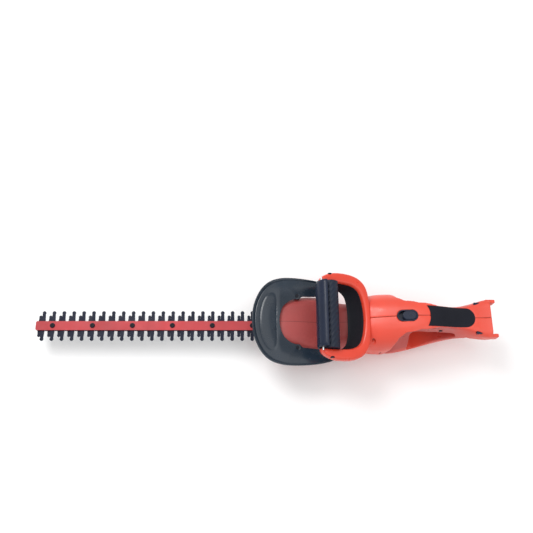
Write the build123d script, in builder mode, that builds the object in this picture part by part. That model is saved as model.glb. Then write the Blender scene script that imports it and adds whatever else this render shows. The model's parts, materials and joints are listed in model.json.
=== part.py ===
from build123d import *
import os
from math import atan, cos, pi, radians, sin, sqrt, tan

os.makedirs("parts", exist_ok=True)

# Cordless hedge trimmer, all sizes in millimetres. X runs along the tool with the cutting
# bar towards -X, Z is up, and the floor that it rests on is Z = 0.

# --- cutting bar ---------------------------------------------------------------------
bar_tip_x = -480.0
bar_width = 19.5
bar_rear_x = 30.0
tooth_pitch = 21.2
tooth_count = 22
first_tooth_x = -465.4
long_reach = 32.5  # tooth tip to the tool's centre line
short_reach = 23.5
tooth_offset = -7.5  # lower blade's teeth against the upper blade's, at rest
blade_gap = 0.3
blade_thickness = 2.0
bar_thickness = 2.5
upper_blade_z = 50.3
lower_blade_z = 48.0
plate_z = upper_blade_z + blade_thickness + blade_gap
rail_z = lower_blade_z - blade_gap - bar_thickness
bolt_count = 6
bolt_pitch = 4 * tooth_pitch
first_bolt_x = first_tooth_x + tooth_pitch
bolt_radius = 2.5
spacer_radius = 3.5

# --- crank drive ---------------------------------------------------------------------
crank_x = 62.0
crank_throw = 6.0
blade_travel = 5.6
eccentric_radius = 11.0
yoke_clearance = 0.5
tail_half_width = 22.0
shaft_radius = 4.0
gear_module = 1.25
gear_teeth = 56
pinion_teeth = 14
gear_low_z = 60.0
gear_high_z = 66.0
motor_x = crank_x + gear_module * (gear_teeth + pinion_teeth) / 2
motor_radius = 18.5
motor_shaft_radius = 1.6
running_gap = 0.05  # radial clearance of a running fit
case_half_width = 33.0
case_front_x = 4.0
case_plate_z = plate_z + bar_thickness
case_plate_top = case_plate_z + 3.5
bush_radius = 7.0
case_screw_x = 31.5
case_screw_y = 29.5
case_screw_depth = 8.0
screw_hole_radius = 1.5

# --- housings ------------------------------------------------------------------------
wall = 3.0
housing_joint_x = 190.0
# station along X, half width, lowest Z, highest Z, corner radius
front_stations = [
    (14, 36, 32, 78, 16),
    (30, 47, 16, 87, 22),
    (50, 54, 4, 89, 27),
    (85, 60, 0, 85, 29),
    (120, 61, 0, 79, 29),
    (155, 52, 0, 79, 29),
    (190, 50, 0, 84, 29),
]
rear_stations = [
    (190, 50, 0, 84, 29),
    (215, 56, 0, 112, 42),
    (250, 60, 0, 124, 50),
    (285, 55, 2, 132, 45),
    (320, 46, 7, 136, 36),
    (357, 37, 19, 132, 29),
    (400, 33, 47, 121, 26),
    (435, 37, 70, 116, 18),
    (468, 40, 82, 119, 14),
]
body_end_x = 480.0

# --- bail, grip and switch bar -------------------------------------------------------
bail_tilt = 18.0
bail_pivot_x = 212.0
bail_pivot_z = 108.0
bail_half_height = 15.0
grip_half_length = 69.0
grip_x = 139.5
grip_z = 138.0
grip_radius = 16.0
bar_centre_x = 137.0
bar_centre_z = 138.0
bar_end_length = 5.0
bar_outer_radius = 24.0
bar_inner_radius = 20.3
bar_end_inner_radius = 17.2
bar_half_length = 61.0
bar_pivot_x = 121.0
bar_pivot_z = 150.0
pin_radius = 2.0

# --- rear handle ---------------------------------------------------------------------
button_tilt = 7.0
button_origin = (294.0, 0.0, 133.2)
button_travel = 8.0
trigger_pivot_x = 317.0
trigger_pivot_z = 107.0
trigger_half_width = 8.0

side = Plane.XZ


def cross_plane(x):
    """The plane across the tool at a station, with its own X towards +Y and Y towards +Z."""
    return Plane(origin=(x, 0, 0), x_dir=(0, 1, 0), z_dir=(1, 0, 0))


def housing_loft(stations, inset=0.0, raise_by=0.0):
    """A closed body lofted through rounded rectangles, each drawn in by the inset."""
    with BuildPart() as body:
        for x, half_width, low, high, radius in stations:
            height = high - low - 2 * inset
            corner = min(radius - inset, height / 2 - 0.5, half_width - inset - 0.5)
            with BuildSketch(cross_plane(x)):
                with Locations((0, (low + high) / 2 + raise_by)):
                    RectangleRounded(2 * (half_width - inset), height, corner)
        loft()
    return body.part


def box_between(low, high):
    """A plain box from its lowest to its highest corner."""
    size = [b - a for a, b in zip(low, high)]
    middle = [(a + b) / 2 for a, b in zip(low, high)]
    return Pos(*middle) * Box(*size, mode=Mode.PRIVATE)


def save(piece, name):
    """Label a finished piece and write its file."""
    piece.part.label = name
    export_step(piece.part, "parts/" + name + ".step")


# =====================================================================================
# Cutting bar: red top plate, two toothed blades, lower rail, and what bolts them together
# =====================================================================================
bolt_places = [(first_bolt_x + k * bolt_pitch, 0) for k in range(bolt_count)]


def bar_strip(z, thickness, name, hole_radius):
    """A plain strip with a hole at every bolt, square at its tip."""
    with BuildPart() as strip:
        with BuildSketch(Plane.XY.offset(z)):
            with Locations(((bar_tip_x + bar_rear_x) / 2, 0)):
                Rectangle(bar_rear_x - bar_tip_x, bar_width)
            with Locations(bolt_places):
                Circle(hole_radius, mode=Mode.SUBTRACT)
        extrude(amount=thickness)
        chamfer(strip.edges().filter_by(Axis.Z).group_by(Axis.X)[0], 2.0)
    save(strip, name)
    return strip


blade_plate = bar_strip(plate_z, bar_thickness, "blade_plate", bolt_radius)
blade_rail = bar_strip(rail_z, bar_thickness, "blade_rail", bolt_radius)


def toothed_blade(z, reach, bulb, neck, offset, name):
    """A sliding blade: spine, a row of round-tipped teeth each side, bolt slots and crank yoke."""
    spine_half = bar_width / 2 - 0.75
    spine_front = bar_tip_x + 8
    yoke_half = eccentric_radius + yoke_clearance
    yoke_end = crank_x + yoke_half + 4
    tooth_places = [(first_tooth_x + offset + k * tooth_pitch, 0) for k in range(tooth_count)]
    if tooth_places[0][0] - bulb < spine_front:
        spine_front = tooth_places[0][0] - bulb
    with BuildPart() as blade:
        with BuildSketch(Plane.XY.offset(z)):
            with Locations(((spine_front + crank_x) / 2, 0)):
                Rectangle(crank_x - spine_front, 2 * spine_half)
            with Locations(((36 + yoke_end) / 2, 0)):
                RectangleRounded(yoke_end - 36, 2 * tail_half_width, 5)
            for way in (-1, 1):
                with Locations([(x, 0) for x, _ in tooth_places]):
                    Polygon(
                        (-neck, 0),
                        (neck, 0),
                        (neck, way * spine_half),
                        (neck - 1.2, way * (reach - bulb)),
                        (-neck + 1.2, way * (reach - bulb)),
                        (-neck, way * spine_half),
                        align=None,
                    )
                with Locations([(x, way * (reach - bulb)) for x, _ in tooth_places]):
                    Circle(bulb)
            with Locations(bolt_places):
                SlotOverall(
                    2 * (blade_travel + spacer_radius + 0.7),
                    2 * (spacer_radius + 0.4),
                    mode=Mode.SUBTRACT,
                )
            with Locations((crank_x, 0)):
                SlotOverall(
                    2 * (eccentric_radius + crank_throw + 0.6),
                    2 * yoke_half,
                    rotation=90,
                    mode=Mode.SUBTRACT,
                )
        extrude(amount=blade_thickness)
    save(blade, name)
    return blade


upper_blade = toothed_blade(upper_blade_z, long_reach, 4.0, 4.4, 0.0, "upper_blade")
lower_blade = toothed_blade(lower_blade_z, short_reach, 3.4, 3.9, tooth_offset, "lower_blade")

nut_height = 3.2
washer_height = 0.8
with BuildPart() as blade_bolts:
    with BuildSketch(Plane.XY.offset(case_plate_z)):
        with Locations(bolt_places):
            Circle(5.3)
    extrude(amount=3.0)
    fillet(blade_bolts.faces().group_by(Axis.Z)[-1].edges(), 1.8)
    with BuildSketch(Plane.XY.offset(case_plate_z)):
        with Locations(bolt_places):
            Circle(bolt_radius)
    extrude(amount=-(case_plate_z - rail_z + washer_height + nut_height + 0.8))
    with BuildSketch(Plane.XY.offset(case_plate_z + 3.0)):
        with Locations(bolt_places):
            RegularPolygon(2.0, 6)
    extrude(amount=-1.6, mode=Mode.SUBTRACT)
save(blade_bolts, "blade_bolts")

with BuildPart() as blade_washers:
    with BuildSketch(Plane.XY.offset(rail_z)):
        with Locations(bolt_places):
            Circle(5.5)
            Circle(bolt_radius, mode=Mode.SUBTRACT)
    extrude(amount=-washer_height)
save(blade_washers, "blade_washers")

with BuildPart() as blade_nuts:
    with BuildSketch(Plane.XY.offset(rail_z - washer_height)):
        with Locations(bolt_places):
            RegularPolygon(4.6, 6)
            Circle(bolt_radius, mode=Mode.SUBTRACT)
    extrude(amount=-nut_height)
save(blade_nuts, "blade_nuts")

with BuildPart() as blade_spacers:
    with BuildSketch(Plane.XY.offset(rail_z + bar_thickness)):
        with Locations(bolt_places):
            Circle(spacer_radius)
            Circle(bolt_radius, mode=Mode.SUBTRACT)
    extrude(amount=plate_z - rail_z - bar_thickness)
save(blade_spacers, "blade_spacers")

# =====================================================================================
# Gear case and crank
# =====================================================================================
case_rear_x = 86.0
case_wall_rear_x = 100.0
case_floor_z = rail_z - 4.7
case_length = case_rear_x - case_front_x
case_wall_length = case_wall_rear_x - case_front_x
with BuildPart() as gear_case:
    with BuildSketch(Plane.XY.offset(case_floor_z)):
        with Locations(((case_front_x + case_rear_x) / 2, 0)):
            RectangleRounded(case_length, 2 * case_half_width, 5)
        with Locations((crank_x, 0)):
            Circle(bush_radius, mode=Mode.SUBTRACT)
    extrude(amount=rail_z - case_floor_z)
    with BuildSketch(Plane.XY.offset(rail_z)):
        with Locations(((case_front_x + case_wall_rear_x) / 2, 0)):
            RectangleRounded(case_wall_length, 2 * case_half_width, 5)
            Rectangle(case_wall_length + 1, 2 * (tail_half_width + 1), mode=Mode.SUBTRACT)
    extrude(amount=case_plate_z - rail_z)
    with Locations((crank_x, 0, case_plate_z)):
        with GridLocations(2 * case_screw_x, 2 * case_screw_y, 2, 2):
            Cylinder(screw_hole_radius, 2 * case_screw_depth, mode=Mode.SUBTRACT)
save(gear_case, "gear_case")

plate_length = 128.0 - case_front_x
screw_places = [
    (crank_x + dx, dy) for dx in (-case_screw_x, case_screw_x) for dy in (-case_screw_y, case_screw_y)
]
motor_screw_places = [(motor_x, -9), (motor_x, 9)]
with BuildPart() as gear_case_plate:
    with BuildSketch(Plane.XY.offset(case_plate_z)):
        with Locations((case_front_x + plate_length / 2, 0)):
            RectangleRounded(plate_length, 2 * case_half_width, 5)
        with Locations((crank_x, 0)):
            Circle(bush_radius, mode=Mode.SUBTRACT)
        with Locations((motor_x, 0)):
            Circle(5.0, mode=Mode.SUBTRACT)
        with Locations(screw_places + motor_screw_places):
            Circle(screw_hole_radius, mode=Mode.SUBTRACT)
    extrude(amount=case_plate_top - case_plate_z)
save(gear_case_plate, "gear_case_plate")

cover_wall = 2.5
cover_top = 74.0
gear_outer = gear_module * gear_teeth / 2 + 0.85 * gear_module


def cover_outline(grow):
    """Two circles round the gear and the pinion, and the web between them."""
    with Locations((crank_x, 0)):
        Circle(gear_outer + 1.2 + grow)
    with Locations((motor_x, 0)):
        Circle(12.5 + grow)
    with Locations(((crank_x + motor_x) / 2, 0)):
        Rectangle(motor_x - crank_x, 2 * (12.5 + grow))


with BuildPart() as gear_cover:
    with BuildSketch(Plane.XY.offset(case_plate_top)):
        cover_outline(cover_wall)
    extrude(amount=cover_top - case_plate_top)
    with BuildSketch(Plane.XY.offset(case_plate_top)):
        cover_outline(0)
    extrude(amount=cover_top - cover_wall - case_plate_top, mode=Mode.SUBTRACT)
    with BuildSketch(Plane.XY.offset(67.5)):
        with Locations((crank_x, 0)):
            Circle(bush_radius + 2.5)
    extrude(amount=cover_top - 67.5)
    with BuildSketch(Plane.XY.offset(67.5)):
        with Locations((crank_x, 0)):
            Circle(bush_radius)
    extrude(amount=3.5, mode=Mode.SUBTRACT)
save(gear_cover, "gear_cover")

bush_levels = [(case_floor_z, rail_z), (case_plate_z, case_plate_top), (67.5, 71.0)]
with BuildPart() as shaft_bushes:
    for low, high in bush_levels:
        with BuildSketch(Plane.XY.offset(low)):
            with Locations((crank_x, 0)):
                Circle(bush_radius)
                Circle(shaft_radius + running_gap, mode=Mode.SUBTRACT)
        extrude(amount=high - low)
save(shaft_bushes, "shaft_bushes")


def involute_gear(teeth, backlash, turn, centre_x):
    """Spur gear face: involute flanks of a 20 degree rack, thinned by the backlash."""
    pitch_radius = gear_module * teeth / 2
    base_radius = pitch_radius * cos(radians(20))
    tip_radius = pitch_radius + 0.85 * gear_module
    root_radius = pitch_radius - 1.2 * gear_module
    half_tooth = (pi * gear_module / 2 - backlash) / (2 * pitch_radius)
    half_base = half_tooth + tan(radians(20)) - radians(20)

    def flank(radius):
        roll = sqrt(max(0.0, (radius / base_radius) ** 2 - 1))
        return half_base - (roll - atan(roll))

    start = max(base_radius, root_radius)
    radii = [start + (tip_radius - start) * k / 3 for k in range(4)]
    left = [(r * cos(flank(r)), r * sin(flank(r))) for r in radii]
    right = [(x, -y) for x, y in left]
    foot = 0.9 * root_radius
    foot_left = (foot * cos(flank(start)), foot * sin(flank(start)))
    foot_right = (foot_left[0], -foot_left[1])
    with BuildSketch() as tooth:
        with BuildLine():
            Spline(*left)
            Line(left[-1], right[-1])
            Spline(*reversed(right))
            Line(right[0], foot_right)
            Line(foot_right, foot_left)
            Line(foot_left, left[0])
        make_face()
    with BuildSketch(Plane(origin=(centre_x, 0, gear_low_z))) as face:
        Circle(root_radius)
        with PolarLocations(0, teeth, start_angle=turn):
            add(tooth.sketch_local)
    return face.sketch


with BuildPart() as drive_gear:
    add(involute_gear(gear_teeth, 0.16, 0, crank_x))
    extrude(amount=gear_high_z - gear_low_z)
    with Locations((crank_x, 0, gear_high_z)):
        with PolarLocations(20, 6):
            Cylinder(6.5, 30, mode=Mode.SUBTRACT)
        Cylinder(shaft_radius, 30, mode=Mode.SUBTRACT)
save(drive_gear, "drive_gear")

with BuildPart() as motor_pinion:
    add(involute_gear(pinion_teeth, 0.16, 180 + 180 / pinion_teeth, motor_x))
    extrude(amount=gear_high_z - gear_low_z)
    with Locations((motor_x, 0, gear_high_z)):
        Cylinder(motor_shaft_radius, 30, mode=Mode.SUBTRACT)
save(motor_pinion, "motor_pinion")

with BuildPart() as crank_shaft:
    with BuildSketch(Plane.XY.offset(case_floor_z + 0.5)):
        with Locations((crank_x, 0)):
            Circle(shaft_radius)
    extrude(amount=70.5 - case_floor_z - 0.5)
    chamfer(crank_shaft.edges().filter_by(GeomType.CIRCLE), 0.5)
save(crank_shaft, "crank_shaft")


def eccentric(z, way, name):
    """Crank disc whose centre stands off the shaft by the throw."""
    with BuildPart() as disc:
        with BuildSketch(Plane.XY.offset(z + 0.15)):
            with Locations((crank_x, way * crank_throw)):
                Circle(eccentric_radius)
            with Locations((crank_x, 0)):
                Circle(shaft_radius, mode=Mode.SUBTRACT)
        extrude(amount=blade_thickness - 0.3)
    save(disc, name)
    return disc


upper_eccentric = eccentric(upper_blade_z, 1, "upper_eccentric")
lower_eccentric = eccentric(lower_blade_z, -1, "lower_eccentric")

motor_low_z = 9.0
with BuildPart() as motor_can:
    with BuildSketch(Plane.XY.offset(motor_low_z)):
        with Locations((motor_x, 0)):
            Circle(motor_radius)
    extrude(amount=case_plate_z - motor_low_z)
    fillet(motor_can.edges().group_by(Axis.Z)[0], 2.0)
    with Locations((motor_x, 0, motor_low_z + 6)):
        with PolarLocations(motor_radius, 4, start_angle=45):
            Box(3, 9, 5, mode=Mode.SUBTRACT)
    with BuildSketch(Plane.XY.offset(motor_low_z + 3)):
        with Locations((motor_x, 0)):
            Circle(motor_shaft_radius + running_gap)
    extrude(amount=60, mode=Mode.SUBTRACT)
save(motor_can, "motor_can")

with BuildPart() as motor_shaft:
    with BuildSketch(Plane.XY.offset(motor_low_z + 3.5)):
        with Locations((motor_x, 0)):
            Circle(motor_shaft_radius)
    extrude(amount=68 - motor_low_z - 3.5)
save(motor_shaft, "motor_shaft")

with BuildPart() as gear_case_screws:
    with BuildSketch(Plane.XY.offset(case_plate_top)):
        with Locations(screw_places + motor_screw_places):
            Circle(2.7)
    extrude(amount=0.9)
    with BuildSketch(Plane.XY.offset(case_plate_top)):
        with Locations(screw_places):
            Circle(1.45)
    extrude(amount=-(case_plate_top - case_plate_z + case_screw_depth - 0.5))
    with BuildSketch(Plane.XY.offset(case_plate_top)):
        with Locations(motor_screw_places):
            Circle(1.45)
    extrude(amount=-(case_plate_top - case_plate_z - 0.1))
save(gear_case_screws, "gear_case_screws")

with BuildPart() as blade_wiper:
    with BuildSketch(Plane.XY.offset(rail_z)):
        with Locations((case_front_x + 4, 0)):
            Rectangle(6, 2 * (tail_half_width + 0.9))
            Rectangle(7, bar_width + 1.6, mode=Mode.SUBTRACT)
    extrude(amount=case_plate_z - rail_z)
save(blade_wiper, "blade_wiper")


# =====================================================================================
# Clamshell housings, split on the tool's centre plane
# =====================================================================================
front_body = housing_loft(front_stations)
front_core = housing_loft(front_stations, wall)
rear_body = housing_loft(rear_stations)
rear_core = housing_loft(rear_stations, wall)


# Finger opening of the closed rear handle: centres of its corner arcs, seen from the side
opening_corners = [(313, 47), (313, 88), (388, 84), (391, 81)]
opening_radius = 9.0


def finger_opening(grow=0.0):
    """The finger opening as a bar across the tool, grown outwards by the given amount."""
    with BuildPart() as bar:
        with BuildSketch(side):
            with BuildLine():
                Polyline(*opening_corners, close=True)
            make_face()
            offset(amount=opening_radius + grow, kind=Kind.ARC)
        extrude(amount=90, both=True)
    return bar.part


def across(x, z, radius, low_y, high_y):
    """A round bar across the tool, between two Y values."""
    bar = Cylinder(radius, high_y - low_y, rotation=(90, 0, 0), mode=Mode.PRIVATE)
    return Pos(x, (low_y + high_y) / 2, z) * bar


def upright(x, y, radius, low_z, high_z):
    """A vertical round bar between two heights."""
    return Pos(x, y, (low_z + high_z) / 2) * Cylinder(radius, high_z - low_z, mode=Mode.PRIVATE)


# Clamshell screws: place along X, height, and the Y of the seat under the head
front_screws = [(60, 20, -42), (148, 18, -38), (148, 66, -38)]
rear_screws = [(228, 24, -42), (228, 102, -38), (340, 28, -24), (366, 101, -22), (424, 79, -22)]
clamp_screw_radius = 1.8
clamp_head_radius = 3.6
boss_radius = 5.5
boss_reach = 15.0


def screw_bosses(body, places):
    """Solid tubes across the shell, cut to the outside of the body."""
    bosses = [across(x, z, boss_radius, -62, 62) for x, z, _ in places]
    return body & (Part() + bosses)


def screw_clearances(places):
    """Holes for the clamshell screws with a deep recess for each head."""
    holes = [across(x, z, clamp_screw_radius, -64, boss_reach - 2) for x, z, _ in places]
    recesses = [across(x, z, clamp_head_radius + 0.6, -70, seat) for x, z, seat in places]
    return Part() + holes + recesses


# Guard screws, both sides: place along X, distance from the centre, foot and seat of the boss
guard_screws_at = [(24, 20, 87.4, 96.2), (74, 55, 79.2, 88.8)]
guard_screw_places = [(x, way * y, foot, seat) for x, y, foot, seat in guard_screws_at for way in (-1, 1)]
guard_screw_radius = 1.9
guard_screw_length = 22.0
guard_holes = Part() + [
    upright(x, y, guard_screw_radius, seat - guard_screw_length - 1, seat + 1)
    for x, y, _, seat in guard_screw_places
]

# Slot for the lock-off button, in a plane that follows the top of the handle
button_plane = Plane(
    origin=button_origin,
    x_dir=(cos(radians(button_tilt)), 0, sin(radians(button_tilt))),
    z_dir=(-sin(radians(button_tilt)), 0, cos(radians(button_tilt))),
)
bezel_length = 41.0
bezel_width = 23.0
with BuildPart() as bezel_block:
    with BuildSketch(button_plane.offset(-13)):
        SlotOverall(bezel_length, bezel_width)
    extrude(amount=13.8)

# Soft inlay let into the top of the handle
inlay_front_x = 334.0
inlay_rear_x = 435.0
inlay_half = 21.5
inlay_depth = 1.8
with BuildPart() as inlay_prism:
    with BuildSketch(Plane.XY.offset(90)):
        with BuildLine():
            ThreePointArc((inlay_front_x, inlay_half), (inlay_front_x + 6, 0), (inlay_front_x, -inlay_half))
            Line((inlay_front_x, -inlay_half), (inlay_rear_x - 18, -inlay_half + 1.5))
            ThreePointArc(
                (inlay_rear_x - 18, -inlay_half + 1.5),
                (inlay_rear_x, 0),
                (inlay_rear_x - 18, inlay_half - 1.5),
            )
            Line((inlay_rear_x - 18, inlay_half - 1.5), (inlay_front_x, inlay_half))
        make_face()
    extrude(amount=60)
inlay_solid = (rear_body & inlay_prism.part) - housing_loft(rear_stations, 0.0, -inlay_depth)
inlay_solid = inlay_solid & box_between((300, -60, 96), (460, 60, 160))

# Sloping black apron inside the bail: a concave strip that closes the front of the hump
apron_line = [(172, 81.5), (196, 89), (212, 111)]
apron_thickness = 4.0
apron_half_width = 68.0
apron_under = [
    (apron_line[-1][0] + apron_thickness, apron_line[-1][1] - 1),
    (apron_line[1][0] + 2, apron_line[1][1] - apron_thickness),
    (apron_line[0][0], apron_line[0][1] - apron_thickness),
]
apron_ceiling = 160.0
with BuildPart() as apron_strip:
    with BuildSketch(side):
        with BuildLine():
            ThreePointArc(*apron_line)
            Line(apron_line[-1], apron_under[0])
            ThreePointArc(*apron_under)
            Line(apron_under[-1], apron_line[0])
        make_face()
    extrude(amount=apron_half_width, both=True)
with BuildPart() as apron_cut:
    with BuildSketch(side):
        with BuildLine():
            ThreePointArc(*apron_under)
            Line(apron_under[-1], (150, apron_under[-1][1]))
            Line((150, apron_under[-1][1]), (150, apron_ceiling))
            Line((150, apron_ceiling), (apron_under[0][0], apron_ceiling))
            Line((apron_under[0][0], apron_ceiling), apron_under[0])
        make_face()
    extrude(amount=90, both=True)

# Battery socket in the foot at the rear
socket_front_x = 436.0
socket_half_width = 33.0
socket_low_z = 86.5
socket_high_z = 113.5
socket_wall = 2.5
trigger_slot = box_between((310, -8.8, 80), (351, 8.8, 104))

front_wall = front_body & box_between((10, -90, 0), (17, 90, 120))
case_window = box_between((10, -33.2, case_floor_z - 0.2), (20, 33.2, case_plate_top + 0.2))
vent_count = 5
vents = Part() + [
    box_between((232 + 7 * k, -90, 40), (235 + 7 * k, 90, 62)) for k in range(vent_count)
]
below_floor = box_between((-100, -200, -40), (500, 200, 0))
prong = box_between((460, 32, 93), (body_end_x, 40, 113)) + box_between(
    (460, -40, 93), (body_end_x, -32, 113)
)

front_shell = front_body - front_core + front_wall + screw_bosses(front_body, front_screws)
front_shell = front_shell - case_window - screw_clearances(front_screws) - guard_holes - below_floor

rear_shell = rear_body - (rear_core - finger_opening(wall)) + screw_bosses(rear_body, rear_screws)
rear_shell = rear_shell + prong - finger_opening() - trigger_slot - inlay_solid
rear_shell = rear_shell - bezel_block.part - screw_clearances(rear_screws) - vents - below_floor
rear_shell = rear_shell - box_between(
    (socket_front_x, -socket_half_width, socket_low_z), (472, socket_half_width, socket_high_z)
)
rear_shell = rear_shell - apron_cut.part


def save_half(shell, way, name):
    """Keep one side of the centre plane, as a clamshell half."""
    half = box_between((-50, 0, -50), (520, way * 150, 250)) if way > 0 else box_between(
        (-50, -150, -50), (520, 0, 250)
    )
    with BuildPart() as piece:
        add(shell & half)
    save(piece, name)
    return piece


front_left = save_half(front_shell, 1, "front_housing_left")
front_right = save_half(front_shell, -1, "front_housing_right")
rear_left = save_half(rear_shell, 1, "rear_housing_left")
rear_right = save_half(rear_shell, -1, "rear_housing_right")

with BuildPart() as housing_screws:
    for x, z, seat in front_screws + rear_screws:
        add(across(x, z, clamp_head_radius, seat - 2.6, seat))
        add(across(x, z, clamp_screw_radius, seat, boss_reach - 3))
save(housing_screws, "housing_screws")

with BuildPart() as handle_inlay:
    add(inlay_solid)
save(handle_inlay, "handle_inlay")


# =====================================================================================
# Smoke guard: a sloping collar round the housing with a deeper rim, open at the rear
# =====================================================================================
guard_thickness = 3.0
guard_slope = 8.5
guard_height = 96.2
guard_rear_x = 160.0
rim_width = 4.0
rim_rise = 5.0
rim_drop = 4.0
guard_plane = Plane(
    origin=(0, 0, guard_height),
    x_dir=(cos(radians(guard_slope)), 0, -sin(radians(guard_slope))),
    z_dir=(sin(radians(guard_slope)), 0, cos(radians(guard_slope))),
)
guard_rim = [(-20, 0), (-9.5, 52), (17, 83), (62, 93.5), (104, 91), (guard_rear_x, 76)]
guard_throat = [(37, 0), (44, 30.5), (60, 45), (86, 54), (118, 57), (guard_rear_x, 51)]


def collar_band(outer, inner, lift):
    """A band between two half outlines, mirrored about the centre plane, open at the rear."""
    stretch = 1 / cos(radians(guard_slope))
    far_outer = [(x * stretch, y) for x, y in reversed(outer)]
    far_inner = [(x * stretch, y) for x, y in reversed(inner)]
    with BuildSketch(guard_plane.offset(lift)) as band:
        with BuildLine():
            Spline(*(far_outer + [(x, -y) for x, y in reversed(far_outer[:-1])]))
            Line((far_outer[0][0], -far_outer[0][1]), (far_inner[0][0], -far_inner[0][1]))
            Spline(*([(x, -y) for x, y in far_inner] + list(reversed(far_inner[:-1]))))
            Line(far_inner[0], far_outer[0])
        make_face()
    return band.sketch


rim_inner = [
    (guard_rim[0][0] + rim_width, 0),
    (guard_rim[1][0] + 0.8 * rim_width, guard_rim[1][1] - 0.5 * rim_width),
    (guard_rim[2][0] + 0.4 * rim_width, guard_rim[2][1] - 0.9 * rim_width),
    (guard_rim[3][0], guard_rim[3][1] - rim_width),
    (guard_rim[4][0], guard_rim[4][1] - rim_width),
    (guard_rim[5][0], guard_rim[5][1] - rim_width),
]
collar_face = collar_band(guard_rim, guard_throat, 0.0)
rim_face = collar_band(guard_rim, rim_inner, -rim_drop)
with BuildPart() as guard:
    extrude(collar_face, amount=guard_thickness)
    extrude(rim_face, amount=rim_drop + rim_rise)
    for x, y, foot, seat in guard_screw_places:
        add(upright(x, y, 5.0, foot, seat))
    add(guard_holes, mode=Mode.SUBTRACT)
    for x, y, foot, seat in guard_screw_places:
        add(upright(x, y, 4.2, seat, seat + 20), mode=Mode.SUBTRACT)
save(guard, "guard")

with BuildPart() as guard_screws:
    for x, y, _, seat in guard_screw_places:
        add(upright(x, y, 3.4, seat, seat + 2))
        add(upright(x, y, guard_screw_radius - 0.1, seat - guard_screw_length, seat))
save(guard_screws, "guard_screws")

# =====================================================================================
# Bail, grip and switch bar
# =====================================================================================
bail_plane = Plane(
    origin=(bail_pivot_x, 0, bail_pivot_z),
    x_dir=(-cos(radians(bail_tilt)), 0, sin(radians(bail_tilt))),
    z_dir=(sin(radians(bail_tilt)), 0, cos(radians(bail_tilt))),
)
# distance forward of the pivot in the bail's plane, and half width
bail_outer = [(102, 77), (92, 86), (60, 91.5), (28, 87), (6, 76), (-8, 58)]
bail_inner = [(102, 70), (60, 69), (30, 63), (10, 42), (3, 0)]


def mirrored(points):
    """The same points on the other side of the centre line, in reverse order."""
    return [(x, -y) for x, y in reversed(points)]


with BuildPart() as bail:
    with BuildSketch(bail_plane.offset(-bail_half_height)):
        with BuildLine():
            Spline(*bail_outer)
            Line(bail_outer[-1], mirrored(bail_outer)[0])
            Spline(*mirrored(bail_outer))
            Line(mirrored(bail_outer)[-1], mirrored(bail_inner)[-1])
            Spline(*(bail_inner + mirrored(bail_inner)[1:]))
            Line(bail_inner[0], bail_outer[0])
        make_face()
    extrude(amount=2 * bail_half_height)
    add(rear_body, mode=Mode.SUBTRACT)
    for way in (-1, 1):
        add(across(grip_x, grip_z, 2.6, way * 79 - 16, way * 79 + 16), mode=Mode.SUBTRACT)
        add(across(grip_x, grip_z, 4.6, way * 93 - 8, way * 93 + 8), mode=Mode.SUBTRACT)
        add(across(bar_pivot_x, bar_pivot_z, pin_radius, way * 70 - 6, way * 70 + 6), mode=Mode.SUBTRACT)
    add(max(bail.part.solids(), key=lambda solid: solid.volume), mode=Mode.INTERSECT)
save(bail, "bail")

with BuildPart() as bail_apron:
    add(apron_strip.part - front_body)
    with BuildSketch(bail_plane.offset(-60)):
        with BuildLine():
            Spline(*(bail_inner + mirrored(bail_inner)[1:]))
            Line(mirrored(bail_inner)[-1], bail_inner[0])
        make_face()
    extrude(amount=120, mode=Mode.INTERSECT)
save(bail_apron, "bail_apron")

with BuildPart() as bail_grip:
    with BuildSketch(side):
        with Locations((grip_x, grip_z)):
            Circle(grip_radius)
            Circle(2.2, mode=Mode.SUBTRACT)
    extrude(amount=grip_half_length, both=True)
save(bail_grip, "bail_grip")

with BuildPart() as grip_screws:
    for way in (-1, 1):
        add(across(grip_x, grip_z, 4.2, way * 86.5 - 1.5, way * 86.5 + 1.5))
        add(across(grip_x, grip_z, 2.1, way * 71 - 14, way * 71 + 14))
save(grip_screws, "grip_screws")


def bar_section(inner_radius):
    """The switch bar's section: a strip of a ring that wraps round the front of the grip."""
    start, end = 100, 235
    points = {}
    for name, radius in (("outer", bar_outer_radius), ("inner", inner_radius)):
        points[name] = [
            (bar_centre_x + radius * cos(radians(a)), bar_centre_z + radius * sin(radians(a)))
            for a in (start, (start + end) / 2, end)
        ]
    with BuildSketch(side) as section:
        with BuildLine():
            ThreePointArc(*points["outer"])
            Line(points["outer"][-1], points["inner"][-1])
            ThreePointArc(*reversed(points["inner"]))
            Line(points["inner"][0], points["outer"][0])
        make_face()
    return section.sketch


with BuildPart() as switch_bar:
    add(bar_section(bar_inner_radius))
    extrude(amount=bar_half_length, both=True)
    for way in (-1, 1):
        end_face = Pos(0, way * bar_half_length, 0) * bar_section(bar_end_inner_radius)
        extrude(end_face, amount=bar_end_length, dir=(0, -way, 0))
    add(
        across(bar_pivot_x, bar_pivot_z, pin_radius + running_gap, -bar_half_length - 1, bar_half_length + 1),
        mode=Mode.SUBTRACT,
    )
save(switch_bar, "switch_bar")

with BuildPart() as switch_bar_pins:
    for way in (-1, 1):
        add(across(bar_pivot_x, bar_pivot_z, pin_radius, way * 65.5 - 9.5, way * 65.5 + 9.5))
save(switch_bar_pins, "switch_bar_pins")


def coil_spring(x, y, z, way, radius, wire, pitch, turns):
    """An open coil about a line across the tool, starting at y and winding outwards."""
    with BuildPart() as spring:
        with BuildLine():
            path = Helix(pitch, pitch * turns, radius, center=(x, y, z), direction=(0, way, 0))
        with BuildSketch(Plane(origin=path @ 0, z_dir=path % 0)):
            Circle(wire / 2)
        sweep(path=path, is_frenet=True)
    return spring.part


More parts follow.
